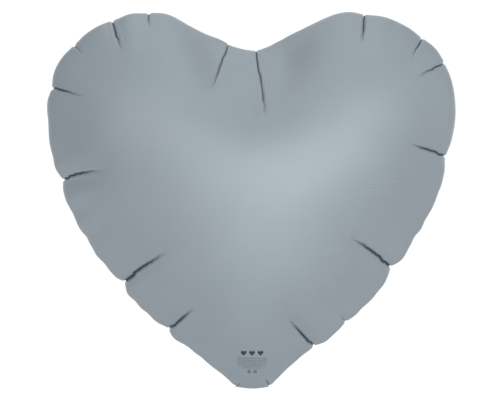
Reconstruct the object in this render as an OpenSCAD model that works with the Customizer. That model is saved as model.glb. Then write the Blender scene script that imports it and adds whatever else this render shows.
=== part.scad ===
// A heart-shaped balloon of metallised film, blown up full, with its filling tail folded up behind it.
// Two domed film panels meet in a flat heat-sealed seam. A two-film valve runs from the tail into the heart.
// All sizes are in millimetres. +X is to the right, +Y towards the back and +Z up. The origin lies in the
// seam's plane, at the middle of the heart's bottom edge, where the tail folds and a ribbon is tied.
// The films are drawn thicker than real film, so that each one is a solid.

/* [Heart] */
// Width of the full heart, over the seam
heart_w = 298; // [240:1:370]
// Height of the full heart, from the bottom edge to the tops of the lobes
heart_h = 272; // [220:1:340]
// Depth of the full heart, from front to back
heart_d = 150; // [110:1:190]
// Distance between the tops of the two lobes
lobe_spacing = 148; // [120:1:180]
// Depth of the notch between the lobes
notch_depth = 27.5; // [20:0.5:34]
// Angle between each flank and the upright, at the tip
tip_angle = 48; // [40:1:56]

/* [Film and seam] */
// Drawn thickness of the metallised film
film_t = 0.35; // [0.25:0.05:0.6]
// Width of the heat-sealed seam
seam_w = 4.5; // [3:0.5:8]

/* [Filling tail] */
// Width of the tail
tail_w = 24; // [20:1:32]
// Length of the tail, from the fold to its cut end
tail_len = 58; // [40:1:80]
// Width of the seal down each side of the tail
tail_seal_w = 4; // [3:0.5:6]
// Distance from the bottom edge down to the fold line
fold_drop = 1.5; // [1.2:0.1:3]
// Distance from the fold line to where the tail's films begin
fold_r = 1; // [0.8:0.1:2]
// Gap between the folded tail and the back panel
tail_gap = 0.8; // [0.4:0.1:3]

/* [Valve] */
// Drawn thickness of each valve film
valve_t = 0.3; // [0.2:0.05:0.5]
// Length of valve inside the heart
valve_in = 55; // [35:1:80]
// Distance from the tail's cut end to the valve's mouth
valve_recess = 6; // [3:1:15]
// Gap between the valve and the side seals of the tail
valve_side_gap = 1; // [1:0.1:2]
// Width of the seal down each side of the valve
valve_seal_w = 1.5; // [1:0.1:2.5]
// Gap between the two valve films, where the gas goes in
channel_gap = 0.2; // [0.2:0.1:0.6]
// Length of the release layer
release_len = 12; // [8:1:20]
// Thickness of the release layer
release_t = 0.1; // [0.05:0.01:0.15]

/* [Printed block] */
// Width of the printed block
print_w = 22; // [14:1:26]
// Height of the printed block
print_h = 17; // [10:1:26]
// Distance from the bottom edge to the printed block
print_low = 10; // [10:1:18]
// Drawn thickness of the ink
print_t = 0.12; // [0.1:0.02:0.3]
// Gap between the ink and the film below it
print_gap = 0.5; // [0.4:0.05:1]

/* [Hidden] */

silver_film = [0.63, 0.69, 0.72];
clear_film = [0.86, 0.90, 0.92, 0.6];
release_ink = [0.80, 0.72, 0.45];
grey_ink = [0.45, 0.48, 0.52];

// Segments along half of the outline
bottom_steps = 2;
flank_steps = 15;
lobe_steps = 13;
notch_steps = 4;
// Rings of each dome, from its middle to the seam
dome_rings = 12;
// Steps along the folded tail, and of the profile that it lies on
tail_steps = 14;
profile_steps = 40;
// Columns and rows of the printed block
print_columns = 6;
print_rows = 5;
// Lengths of the flank curve's two handles, as shares of the distance that it spans
tip_handle = 0.13;
lobe_handle = 0.42;
// How steeply the film swells from the seam: 1 is a straight slope and 0.5 a round edge
swell = 0.72;
// Height of the heart's middle, as a share of its height
middle_share = 0.52;
// Radius of the innermost, round rings, as a share of the heart's least reach from its middle
round_share = 1.2;
// Run of the step between a film's side seal and its middle, on the tail and on the valve
step_run = 0.8;
valve_step_run = 0.3;
// Room between the release layer and the valve's side seals, for both sides together
release_room = 0.4;
// Height of the land where the panels close over the valve
land_h = seam_w + 2;
// Half of the height that is cleared between the panels for the valve
land_cut = 0.5;
// Least room between the folded tail and the bottom corner of the land
corner_gap = 0.03;
valve_w = tail_w - 2 * (tail_seal_w + valve_side_gap);
release_w = valve_w - 2 * (valve_seal_w + valve_step_run) - release_room;
valve_face = channel_gap / 2 + valve_t;
stack_half = valve_face + film_t;
lobe_r = (heart_w - lobe_spacing) / 2;
lobe_z = heart_h - lobe_r;
lobe_rise = lobe_r - notch_depth;
notch_r = (pow(lobe_spacing / 2, 2) + pow(lobe_rise, 2) - pow(lobe_r, 2)) / (2 * notch_depth);
notch_z = heart_h - notch_depth + notch_r;
// Direction, seen from a lobe's middle, in which the lobe turns into the notch
notch_turn = atan2(notch_z - lobe_z, -lobe_spacing / 2);
middle = [0, middle_share * heart_h];
hinge = [0, -fold_drop];

function arc(centre, r, from, to, steps) =
    [for (i = [0:steps]) let (a = from + (to - from) * i / steps) centre + r * [cos(a), sin(a)]];

function curve(a, b, c, d, steps) =
    [for (i = [0:steps]) let (t = i / steps, s = 1 - t) s*s*s*a + 3*s*s*t*b + 3*s*t*t*c + t*t*t*d];

// Right half of the outline, from the middle of the bottom edge round to the bottom of the notch
tip = [tail_w / 2, 0];
widest = [heart_w / 2, lobe_z];
flank_span = norm(widest - tip);
right_half = concat(
    [for (i = [0:bottom_steps - 1]) tip * i / bottom_steps],
    curve(
        tip,
        tip + tip_handle * flank_span * [sin(tip_angle), cos(tip_angle)],
        widest - lobe_handle * flank_span * [0, 1],
        widest,
        flank_steps
    ),
    [for (i = [1:lobe_steps]) arc([lobe_spacing / 2, lobe_z], lobe_r, 0, notch_turn, lobe_steps)[i]],
    [for (i = [1:notch_steps]) arc([0, notch_z], notch_r, notch_turn - 180, -90, notch_steps)[i]]
);
half_count = len(right_half) - 1;
outline = concat(
    right_half,
    [for (i = [half_count - 1:-1:1]) [-right_half[i].x, right_half[i].y]]
);
count = len(outline);
reach = [for (p = outline) norm(p - middle)];
aim = [for (i = [0:count - 1]) (outline[i] - middle) / reach[i]];
// The line along which the film leaves the flat seam
base = [for (i = [0:count - 1]) middle + aim[i] * (reach[i] - seam_w)];
round_r = round_share * (min(reach) - seam_w);

// A smooth distance from the seam. It is the exact distance beside a long straight seam.
function edge_pull(p, a, b) =
    let (
        u = a - p,
        v = b - p,
        across = abs(u.x * v.y - u.y * v.x),
        away = across / norm(b - a)
    )
    atan2(across, u * v) * PI / 180 / away;
function near_seam(p) =
    PI / sum([for (i = [0:count - 1]) edge_pull(p, base[i], base[(i + 1) % count])]);
function sum(list) = list * [for (v = list) 1];

// Places of the dome's points in the seam's plane, on rings that turn from round to heart-shaped
function ring_share(ring) = sin(90 * ring / dome_rings);
function ring_point(ring, i) =
    let (t = ring_share(ring), far = reach[i] - seam_w)
    middle + aim[i] * (t * round_r + (far - round_r) * t * t);
rise_max = heart_d / 2 - film_t;
distance_max = near_seam(middle);
function rise(p) = rise_max * pow(min(1, near_seam(p) / distance_max), swell);

rings = [for (ring = [1:dome_rings - 1]) [for (i = [0:count - 1]) ring_point(ring, i)]];
rises = [for (ring = rings) [for (p = ring) rise(p)]];

// One film panel, on the front: its outer skin, the flat seam's edge and its inner skin, closed into one
function outer_point(p, y) = [p.x, -film_t - y, p.y];
function inner_point(p, y) =
    let (q = middle + (p - middle) * (1 - film_t / norm(p - middle)))
    [q.x, -y * (1 - film_t / rise_max), q.y];
panel_points = concat(
    [outer_point(middle, rise_max)],
    [for (k = [0:dome_rings - 2]) for (i = [0:count - 1]) outer_point(rings[k][i], rises[k][i])],
    [for (p = base) outer_point(p, 0)],
    [for (p = outline) outer_point(p, 0)],
    [for (p = outline) [p.x, 0, p.y]],
    [for (p = base) inner_point(p, 0)],
    [for (k = [dome_rings - 2:-1:0]) for (i = [0:count - 1]) inner_point(rings[k][i], rises[k][i])],
    [[middle.x, -rise_max + film_t, middle.y]]
);
loops = 2 * dome_rings + 2;
last_point = len(panel_points) - 1;
function loop_at(loop, i) = 1 + loop * count + i % count;
panel_faces = concat(
    [for (i = [0:count - 1]) [0, loop_at(0, i + 1), loop_at(0, i)]],
    [
        for (k = [0:loops - 2]) for (i = [0:count - 1])
        each [
            [loop_at(k, i), loop_at(k, i + 1), loop_at(k + 1, i + 1)],
            [loop_at(k, i), loop_at(k + 1, i + 1), loop_at(k + 1, i)],
        ]
    ],
    [for (i = [0:count - 1]) [last_point, loop_at(loops - 1, i), loop_at(loops - 1, i + 1)]]
);

// Cross-section of a film with flat side seals and a raised middle. Each second number points forward.
function raised_strip(half_w, seal, run, lift, t) = [
    [-half_w, t],
    [-half_w + seal, t],
    [-half_w + seal + run, lift + t],
    [half_w - seal - run, lift + t],
    [half_w - seal, t],
    [half_w, t],
    [half_w, 0],
    [half_w - seal, 0],
    [half_w - seal - run, lift],
    [-half_w + seal + run, lift],
    [-half_w + seal, 0],
    [-half_w, 0],
];
film_section = raised_strip(tail_w / 2, tail_seal_w, step_run, valve_face, film_t);
valve_section = raised_strip(valve_w / 2, valve_seal_w, valve_step_run, channel_gap / 2, valve_t);

// A film strip with the given cross-section along a path of [y, z] points
function turned(v) = [v.y, -v.x];
function way(path, i) =
    let (a = path[max(i - 1, 0)], b = path[min(i + 1, len(path) - 1)])
    (b - a) / norm(b - a);
module film_strip(path, section, side) {
    n = len(section);
    last = len(path) - 1;
    points = [
        for (i = [0:last]) let (out = turned(way(path, i))) for (s = section)
        [s.x, path[i].x + side * s.y * out.x, path[i].y + side * s.y * out.y]
    ];
    sides = [
        for (i = [0:last - 1]) for (j = [0:n - 1]) let (a = i * n + j, b = i * n + (j + 1) % n)
        [a, b, b + n, a + n]
    ];
    near_end = [for (j = [0:n / 2 - 2]) [n - 1 - j, n - 2 - j, j + 1, j]];
    far_end = [for (j = [0:n / 2 - 2]) [for (k = [j, j + 1, n - 2 - j, n - 1 - j]) last * n + k]];
    faces = concat(sides, near_end, far_end);
    polyhedron(points, side > 0 ? faces : [for (f = faces) [for (k = [len(f) - 1:-1:0]) f[k]]]);
}

// The tail lies on the back panel. Its path leaves the fold straight, then follows the panel's swelling.
profile_top = tail_len * 1.2;
function back_point(z) = [film_t + rise([0, z]), z];
function clear_point(z) =
    let (slope = back_point(z + 1) - back_point(z), out = turned(slope) / norm(slope))
    back_point(z) + out * (stack_half + tail_gap) * (out.x > 0 ? 1 : -1);
lie_profile = [
    for (i = [1:profile_steps]) clear_point(seam_w + (profile_top - seam_w) * i / profile_steps)
];
step_len = (tail_len - fold_r) / tail_steps;
// Steepest direction from p that keeps the tail's films clear of the land's bottom corner
land_corner = [stack_half, 0];
function corner_angle(p) =
    let (c = land_corner - p, away = stack_half + corner_gap)
    norm(c) > away ? atan2(c.y, c.x) - asin(away / norm(c)) : 90;
function lie_angle(p) =
    let (
        a = min([
            for (q = lie_profile) if (norm(q - p) > step_len && q.y > p.y) atan2(q.y - p.y, q.x - p.x)
        ])
    )
    (land_corner - p) * [cos(a), sin(a)] > 0 ? min(a, corner_angle(p)) : a;
function lie_path(p, left) =
    let (a = lie_angle(p))
    left == 0 ? [p] : concat([p], lie_path(p + step_len * [cos(a), sin(a)], left - 1));
fold_angle = lie_angle(hinge);
tail_path = lie_path(hinge + fold_r * [cos(fold_angle), sin(fold_angle)], tail_steps);
valve_tail_path = [for (i = [0:tail_steps - round(valve_recess / step_len)]) tail_path[i]];
valve_heart_path = [[0, valve_in], [0, 0]];

module film_panel() {
    color(silver_film) {
        difference() {
            polyhedron(panel_points, panel_faces);
            translate([-tail_w / 2 + tail_seal_w, -land_cut, -1])
                cube([tail_w - 2 * tail_seal_w, 2 * land_cut, land_h + 1]);
        }
        mirror([0, 1, 0])
            linear_extrude(land_h)
                polygon(film_section);
    }
}

module front_panel() {
    film_panel();
}

module back_panel() {
    mirror([0, 1, 0])
        film_panel();
}

module valve_front_film() {
    color(clear_film)
        film_strip(valve_heart_path, valve_section, 1);
}

module valve_back_film() {
    color(clear_film)
        film_strip(valve_heart_path, valve_section, -1);
}

module valve_release_layer() {
    color(release_ink)
        translate([-release_w / 2, channel_gap / 2 - release_t, 0])
            cube([release_w, release_t, release_len]);
}

module printed_block() {
    columns = print_columns + 1;
    size = columns * (print_rows + 1);
    spots = [
        for (k = [0:print_rows]) for (i = [0:print_columns])
        [(i / print_columns - 0.5) * print_w, print_low + print_h * k / print_rows]
    ];
    lifts = [for (p = spots) film_t + rise(p) + print_gap];
    points = concat(
        [for (i = [0:size - 1]) [spots[i].x, -lifts[i] - print_t, spots[i].y]],
        [for (i = [0:size - 1]) [spots[i].x, -lifts[i], spots[i].y]]
    );
    skin = [
        for (k = [0:print_rows - 1]) for (i = [0:print_columns - 1]) let (a = k * columns + i)
        each [[a, a + columns, a + columns + 1], [a, a + columns + 1, a + 1]]
    ];
    rim = concat(
        [for (i = [0:print_columns - 1]) i],
        [for (k = [0:print_rows - 1]) k * columns + print_columns],
        [for (i = [print_columns:-1:1]) print_rows * columns + i],
        [for (k = [print_rows:-1:1]) k * columns]
    );
    edge = [
        for (i = [0:len(rim) - 1]) let (a = rim[i], b = rim[(i + 1) % len(rim)])
        each [[a, b, b + size], [a, b + size, a + size]]
    ];
    color(grey_ink)
        polyhedron(points, concat(skin, [for (f = skin) [f[2] + size, f[1] + size, f[0] + size]], edge));
}

module tail_front_film() {
    color(silver_film)
        film_strip(tail_path, film_section, 1);
}

module tail_back_film() {
    color(silver_film)
        film_strip(tail_path, film_section, -1);
}

module tail_valve_front_film() {
    color(clear_film)
        film_strip(valve_tail_path, valve_section, 1);
}

module tail_valve_back_film() {
    color(clear_film)
        film_strip(valve_tail_path, valve_section, -1);
}

front_panel();
back_panel();
valve_front_film();
valve_back_film();
valve_release_layer();
printed_block();
tail_front_film();
tail_back_film();
tail_valve_front_film();
tail_valve_back_film();
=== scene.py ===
"""A blown-up heart of metallised film with its filling tail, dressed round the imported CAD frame.

Lengths inside the classes are in millimetres, and meshes are made in metres in the CAD frame: +X to the
right, +Y to the back, +Z up, with the origin at the middle of the heart's bottom edge, in the seam's plane.
"""

import logging
import math
from dataclasses import dataclass, field
from enum import Enum
from typing import Iterable, Optional, Sequence, Union

import bpy
import numpy as np
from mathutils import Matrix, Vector
from mathutils.bvhtree import BVHTree
from mathutils.geometry import delaunay_2d_cdt


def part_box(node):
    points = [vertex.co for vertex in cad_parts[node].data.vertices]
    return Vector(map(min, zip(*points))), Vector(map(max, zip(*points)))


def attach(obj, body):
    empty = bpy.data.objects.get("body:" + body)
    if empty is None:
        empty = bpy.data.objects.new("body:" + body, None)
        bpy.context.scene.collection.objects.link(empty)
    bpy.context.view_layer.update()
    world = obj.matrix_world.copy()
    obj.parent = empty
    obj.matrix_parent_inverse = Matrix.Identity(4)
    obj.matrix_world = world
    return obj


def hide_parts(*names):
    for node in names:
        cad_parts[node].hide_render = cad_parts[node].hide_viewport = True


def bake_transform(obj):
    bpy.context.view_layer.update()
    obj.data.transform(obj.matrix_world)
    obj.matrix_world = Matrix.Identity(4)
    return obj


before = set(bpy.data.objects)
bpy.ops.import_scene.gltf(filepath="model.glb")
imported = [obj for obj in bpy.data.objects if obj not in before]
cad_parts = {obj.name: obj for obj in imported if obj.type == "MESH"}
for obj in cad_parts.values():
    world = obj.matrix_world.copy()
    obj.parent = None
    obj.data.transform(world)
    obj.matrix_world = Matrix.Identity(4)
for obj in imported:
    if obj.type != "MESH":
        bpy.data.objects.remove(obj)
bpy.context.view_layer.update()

MM = 0.001
LOG = logging.getLogger("foil_heart")

Value = Union[float, Sequence[float], bpy.types.NodeSocket]


class Body(str, Enum):
    """The CAD bodies that pieces ride on."""

    BALLOON = "balloon"
    TAIL = "tail"


class Slot(str, Enum):
    """The record's material slots."""

    FILM = "metallised_film"
    VALVE = "valve_film"
    RELEASE = "release_coating"
    INK = "printing_ink"


class Side(float, Enum):
    """The side of the seam's plane, or of a strip's middle line, that a film lies on."""

    FRONT = -1.0
    BACK = 1.0


# ----------------------------------------------------------------------
# Finishes
# ----------------------------------------------------------------------


def linear(colour: str) -> tuple[float, float, float, float]:
    """Turn an sRGB hex colour into linear RGBA.

    Args:
        colour: six hex digits after a hash.

    Returns:
        The linear colour, with full alpha.
    """
    shares = [int(colour[i : i + 2], 16) / 255 for i in (1, 3, 5)]
    return (*[c / 12.92 if c <= 0.04045 else ((c + 0.055) / 1.055) ** 2.4 for c in shares], 1.0)


def add_node(
    tree: bpy.types.NodeTree, kind: str, settings: Optional[dict] = None, inputs: Optional[dict] = None
) -> bpy.types.Node:
    """Add one node with its settings and links.

    Args:
        tree: the node tree to add to.
        kind: the node's type name, without "ShaderNode".
        settings: the node's own properties.
        inputs: values or output sockets, by socket name or number.

    Returns:
        The new node.
    """
    node = tree.nodes.new("ShaderNode" + kind)
    for key, value in (settings or {}).items():
        setattr(node, key, value)
    for key, value in (inputs or {}).items():
        if isinstance(value, bpy.types.NodeSocket):
            tree.links.new(value, node.inputs[key])
        else:
            node.inputs[key].default_value = value
    return node


@dataclass(frozen=True)
class Finish:
    """A material, with the numbers that every finish has."""

    name: str
    colour: str
    roughness: float

    def start(self) -> tuple[bpy.types.Material, bpy.types.NodeTree, bpy.types.Node]:
        """Make the empty material.

        Returns:
            The material, its node tree and its surface shader.
        """
        material = bpy.data.materials.new(self.name)
        material.use_nodes = True
        tree = material.node_tree
        shader = tree.nodes["Principled BSDF"]
        shader.inputs["Base Color"].default_value = linear(self.colour)
        shader.inputs["Roughness"].default_value = self.roughness
        return material, tree, shader


@dataclass(frozen=True)
class MetallisedFilm(Finish):
    """Aluminium-metallised nylon film with a satin grey lacquer, rolled and blown up tight.

    The metal gives broad soft reflections of its surroundings, the lacquer spreads them and greys them.
    """

    name: str = "aluminium_metallised_nylon_film_satin"
    colour: str = "#A9B4B9"
    roughness: float = 0.44
    cloud_colour: str = "#A3AEB5"
    # Colour of the painted shade along each shut fold.
    fold_shade_colour: str = "#262C30"
    cloud_mm: float = 42.0
    crinkle_mm: float = 7.0
    crinkle_rise_mm: float = 0.035
    ridge_mm: float = 5.0
    ridge_rise_mm: float = 0.12
    lacquer: float = 0.25
    lacquer_roughness: float = 0.34
    sealed: bool = False
    seal_rib_mm: float = 0.9
    seal_rib_rise_mm: float = 0.03

    def build(self) -> bpy.types.Material:
        """Build the material.

        Returns:
            The finished material.
        """
        material, tree, shader = self.start()
        shader.inputs["Metallic"].default_value = 1.0
        shader.inputs["Coat Weight"].default_value = self.lacquer
        shader.inputs["Coat Roughness"].default_value = self.lacquer_roughness
        place = add_node(tree, "TexCoord").outputs["Object"]
        # The lacquer's coat weight varies a little over a hand's breadth, which clouds the grey.
        cloud = add_node(
            tree, "TexNoise", {}, {"Vector": place, "Scale": 1 / (self.cloud_mm * MM), "Detail": 3.0}
        ).outputs["Fac"]
        tint = add_node(
            tree,
            "Mix",
            {"data_type": "RGBA"},
            {"Factor": cloud, "A": linear(self.colour), "B": linear(self.cloud_colour)},
        ).outputs["Result"]
        # Painted shade: where a fold has shut on itself, the shade inside it is painted into the base colour as
        # a dark line that thins towards its end.
        gap = add_node(tree, "Attribute", {"attribute_name": "fold_gap"}).outputs["Fac"]
        dark = add_node(tree, "Attribute", {"attribute_name": "fold_painted_shade"}).outputs["Fac"]
        line = add_node(
            tree,
            "MapRange",
            {"interpolation_type": "SMOOTHSTEP"},
            {"Value": gap, "From Min": 0.0001, "From Max": 0.0007, "To Min": 1.0, "To Max": 0.0},
        ).outputs["Result"]
        shut = add_node(tree, "Math", {"operation": "MULTIPLY"}, {0: line, 1: dark}).outputs[0]
        # Mix the painted fold shade into the film's base colour.
        shade = add_node(
            tree,
            "Mix",
            {"data_type": "RGBA"},
            {"Factor": shut, "A": tint, "B": linear(self.fold_shade_colour)},
        ).outputs["Result"]
        tree.links.new(shade, shader.inputs["Base Color"])
        rough = add_node(
            tree,
            "MapRange",
            {},
            {"Value": cloud, "To Min": self.roughness - 0.03, "To Max": self.roughness + 0.04},
        ).outputs["Result"]
        tree.links.new(rough, shader.inputs["Roughness"])
        # Shallow crinkles all over, as handling leaves in thin film.
        crinkle = add_node(
            tree, "TexNoise", {}, {"Vector": place, "Scale": 1 / (self.crinkle_mm * MM), "Detail": 2.0}
        ).outputs["Fac"]
        bump = add_node(
            tree,
            "Bump",
            {},
            {"Height": crinkle, "Strength": 1.0, "Distance": self.crinkle_rise_mm * MM},
        )
        # Fine ridges that run in from the seam, where the film has more edge than the round heart needs.
        along = add_node(tree, "Attribute", {"attribute_name": "seam_run"}).outputs["Fac"]
        away = add_node(tree, "Attribute", {"attribute_name": "seam_gap"}).outputs["Fac"]
        pitch = self.seal_rib_mm if self.sealed else self.ridge_mm
        wander = add_node(
            tree,
            "TexNoise",
            {"noise_dimensions": "2D"},
            {
                "Vector": add_node(tree, "CombineXYZ", {}, {"X": along, "Y": away}).outputs[0],
                "Scale": 45.0,
                "Detail": 1.0,
            },
        ).outputs["Fac"]
        turn = add_node(
            tree,
            "Math",
            {"operation": "MULTIPLY_ADD"},
            {0: wander, 1: 3.4 if not self.sealed else 0.6, 2: add_node(
                tree, "Math", {"operation": "MULTIPLY"}, {0: along, 1: 2 * math.pi / (pitch * MM)}
            ).outputs[0]},
        ).outputs[0]
        wave = add_node(tree, "Math", {"operation": "SINE"}, {0: turn}).outputs[0]
        strength = add_node(tree, "Attribute", {"attribute_name": "ridges"}).outputs["Fac"]
        height = add_node(tree, "Math", {"operation": "MULTIPLY"}, {0: wave, 1: strength}).outputs[0]
        rise = self.seal_rib_rise_mm if self.sealed else self.ridge_rise_mm
        bump = add_node(
            tree,
            "Bump",
            {},
            {"Height": height, "Strength": 1.0, "Distance": rise * MM, "Normal": bump.outputs[0]},
        )
        tree.links.new(bump.outputs[0], shader.inputs["Normal"])
        return material


@dataclass(frozen=True)
class ClearFilm(Finish):
    """Blown polyethylene valve film, which lets a cloudy light through and shines weakly."""

    name: str = "polyethylene_film_blown"
    colour: str = "#E6EAEC"
    roughness: float = 0.28
    haze_mm: float = 3.0
    haze_rise_mm: float = 0.02
    clear: float = 0.7

    def build(self) -> bpy.types.Material:
        """Build the material.

        Returns:
            The finished material.
        """
        material, tree, shader = self.start()
        shader.inputs["IOR"].default_value = 1.51
        shader.inputs["Transmission Weight"].default_value = self.clear
        place = add_node(tree, "TexCoord").outputs["Object"]
        haze = add_node(
            tree, "TexNoise", {}, {"Vector": place, "Scale": 1 / (self.haze_mm * MM), "Detail": 3.0}
        ).outputs["Fac"]
        rough = add_node(
            tree,
            "MapRange",
            {},
            {"Value": haze, "To Min": self.roughness - 0.06, "To Max": self.roughness + 0.1},
        ).outputs["Result"]
        tree.links.new(rough, shader.inputs["Roughness"])
        bump = add_node(
            tree, "Bump", {}, {"Height": haze, "Strength": 1.0, "Distance": self.haze_rise_mm * MM}
        )
        tree.links.new(bump.outputs[0], shader.inputs["Normal"])
        return material


@dataclass(frozen=True)
class GravureInk(Finish):
    """Solvent ink printed on film by gravure: a thin matt layer whose cells leave a faint grain."""

    cell_mm: float = 0.25
    thin_colour: str = "#5A6268"
    cover: float = 0.35

    def build(self) -> bpy.types.Material:
        """Build the material.

        Returns:
            The finished material.
        """
        material, tree, shader = self.start()
        place = add_node(tree, "TexCoord").outputs["Object"]
        # The cell screen is drawn at twice its real pitch of about 0.12 mm, or it wouldn't show.
        grain = add_node(
            tree, "TexNoise", {}, {"Vector": place, "Scale": 1 / (self.cell_mm * MM), "Detail": 1.0}
        ).outputs["Fac"]
        share = add_node(
            tree, "Math", {"operation": "MULTIPLY"}, {0: grain, 1: self.cover}
        ).outputs[0]
        tint = add_node(
            tree,
            "Mix",
            {"data_type": "RGBA"},
            {"Factor": share, "A": linear(self.colour), "B": linear(self.thin_colour)},
        ).outputs["Result"]
        tree.links.new(tint, shader.inputs["Base Color"])
        bump = add_node(tree, "Bump", {}, {"Height": grain, "Strength": 1.0, "Distance": 0.00001})
        tree.links.new(bump.outputs[0], shader.inputs["Normal"])
        return material


@dataclass(frozen=True)
class FloorPaint(Finish):
    """Matt emulsion on a board floor, rolled: even and pale, with a faint mottle."""

    name: str = "white_emulsion_rolled"
    colour: str = "#F2F2F1"
    roughness: float = 0.85
    mottle_mm: float = 300.0

    def build(self) -> bpy.types.Material:
        """Build the material.

        Returns:
            The finished material.
        """
        material, tree, shader = self.start()
        place = add_node(tree, "TexCoord").outputs["Object"]
        mottle = add_node(
            tree, "TexNoise", {}, {"Vector": place, "Scale": 1 / (self.mottle_mm * MM), "Detail": 2.0}
        ).outputs["Fac"]
        tint = add_node(
            tree,
            "Mix",
            {"data_type": "RGBA"},
            {"Factor": mottle, "A": linear(self.colour), "B": linear("#EEEEEE")},
        ).outputs["Result"]
        tree.links.new(tint, shader.inputs["Base Color"])
        return material


# ----------------------------------------------------------------------
# Mesh helpers
# ----------------------------------------------------------------------


def make_piece(
    name: str,
    points: np.ndarray,
    faces: Iterable[Sequence[int]],
    materials: Sequence[bpy.types.Material],
    picks: Optional[np.ndarray] = None,
    fields: Optional[dict[str, np.ndarray]] = None,
) -> bpy.types.Object:
    """Make a smooth-shaded mesh object from points in millimetres.

    Args:
        name: the piece's name.
        points: places in the CAD frame, in millimetres.
        faces: corner numbers of each face.
        materials: the materials, in slot order.
        picks: each face's material slot, or None for the first.
        fields: numbers for each point, kept as attributes for the materials.

    Returns:
        The new object, linked to the scene.
    """
    mesh = bpy.data.meshes.new(name)
    mesh.from_pydata((np.asarray(points) * MM).tolist(), [], [list(map(int, f)) for f in faces])
    mesh.update()
    mesh.polygons.foreach_set("use_smooth", [True] * len(mesh.polygons))
    for material in materials:
        mesh.materials.append(material)
    if picks is not None:
        mesh.polygons.foreach_set("material_index", np.asarray(picks, np.int32))
    for key, values in (fields or {}).items():
        mesh.attributes.new(key, "FLOAT", "POINT").data.foreach_set("value", values.astype(np.float32))
    piece = bpy.data.objects.new(name, mesh)
    bpy.context.scene.collection.objects.link(piece)
    return piece


def smoother(piece: bpy.types.Object, levels: int = 1) -> None:
    """Give a piece a subdivision surface of so many levels."""
    soft = piece.modifiers.new("soften", "SUBSURF")
    soft.levels = soft.render_levels = levels


def thicken(grid: np.ndarray, thickness: float) -> tuple[np.ndarray, list[tuple[int, ...]]]:
    """Turn a grid of points into a closed sheet.

    Args:
        grid: rows by columns of points, in millimetres.
        thickness: how thick the sheet is, in millimetres, added on the side that the grid's rows cross
            its columns towards.

    Returns:
        The points and the faces.
    """
    rows, columns = grid.shape[:2]
    across = np.gradient(grid, axis=1)
    down = np.gradient(grid, axis=0)
    out = np.cross(down, across)
    out /= np.linalg.norm(out, axis=2)[..., None]
    points = np.concatenate([grid.reshape(-1, 3), (grid + out * thickness).reshape(-1, 3)])
    size = rows * columns

    def at(r: int, c: int, top: int) -> int:
        """Number of the point in a row and a column, on the grid or above it."""
        return r * columns + c + top * size

    faces = []
    for r in range(rows - 1):
        for c in range(columns - 1):
            faces.append((at(r, c, 0), at(r, c + 1, 0), at(r + 1, c + 1, 0), at(r + 1, c, 0)))
            faces.append((at(r, c, 1), at(r + 1, c, 1), at(r + 1, c + 1, 1), at(r, c + 1, 1)))
    rim = [(0, c) for c in range(columns)] + [(r, columns - 1) for r in range(1, rows)]
    rim += [(rows - 1, c) for c in range(columns - 2, -1, -1)] + [(r, 0) for r in range(rows - 2, 0, -1)]
    for a, b in zip(rim, rim[1:] + rim[:1]):
        faces.append((at(*b, 0), at(*a, 0), at(*a, 1), at(*b, 1)))
    return points, faces


def distance(points: np.ndarray, pairs: np.ndarray) -> np.ndarray:
    """Distance between the two points of each pair."""
    return np.linalg.norm(points[pairs[:, 0]] - points[pairs[:, 1]], axis=1)


def evenly(line: np.ndarray, places: np.ndarray) -> np.ndarray:
    """Points on a line at the given distances along it."""
    run = np.r_[0, np.cumsum(np.linalg.norm(np.diff(line, axis=0), axis=1))]
    return np.stack([np.interp(places, run, line[:, k]) for k in range(line.shape[1])], 1)


def line_length(line: np.ndarray) -> float:
    """Length of a line of points."""
    return float(np.linalg.norm(np.diff(line, axis=0), axis=1).sum())


# ----------------------------------------------------------------------
# The heart's outline, its dome and its flat cut
# ----------------------------------------------------------------------


@dataclass(frozen=True)
class HeartOutline:
    """The heart's edge over the seam, in the seam's plane as (x, z)."""

    width: float
    height: float
    depth: float
    bottom_width: float
    lobe_spacing: float = 148.0
    notch_depth: float = 27.5
    tip_angle: float = 48.0
    tip_handle: float = 0.13
    lobe_handle: float = 0.42
    middle_share: float = 0.52

    @property
    def middle(self) -> np.ndarray:
        """The point that rings and folds are laid out round."""
        return np.array([0.0, self.middle_share * self.height])

    def loop(self, count: int) -> np.ndarray:
        """Points spaced evenly along the whole outline.

        Args:
            count: how many points.

        Returns:
            The points, counter-clockwise from the middle of the bottom edge.
        """
        lobe_r = (self.width - self.lobe_spacing) / 2
        lobe_z = self.height - lobe_r
        rise = lobe_r - self.notch_depth
        half = self.lobe_spacing / 2
        notch_r = (half**2 + rise**2 - lobe_r**2) / (2 * self.notch_depth)
        notch_z = self.height - self.notch_depth + notch_r
        turn = math.atan2(notch_z - lobe_z, -half)
        tip, widest = np.array([self.bottom_width / 2, 0.0]), np.array([self.width / 2, lobe_z])
        span = np.linalg.norm(widest - tip)
        lean = math.radians(self.tip_angle)
        t = np.linspace(0, 1, 200)[:, None]
        first = tip + self.tip_handle * span * np.array([math.sin(lean), math.cos(lean)])
        second = widest - np.array([0, self.lobe_handle * span])
        flank = (1 - t) ** 3 * tip + 3 * (1 - t) ** 2 * t * first
        flank = flank + 3 * (1 - t) * t**2 * second + t**3 * widest
        a = np.linspace(0, turn, 150)[1:]
        lobe = np.c_[half + lobe_r * np.cos(a), lobe_z + lobe_r * np.sin(a)]
        a = np.linspace(turn - math.pi, -math.pi / 2, 60)[1:]
        notch = np.c_[notch_r * np.cos(a), notch_z + notch_r * np.sin(a)]
        bottom = np.c_[np.linspace(0, tip[0], 20)[:-1], np.zeros(19)]
        right = np.r_[bottom, flank, lobe, notch]
        whole = np.r_[right, right[-2:0:-1] * [-1, 1], right[:1]]
        return evenly(whole, np.arange(count) / count * line_length(whole))


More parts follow.
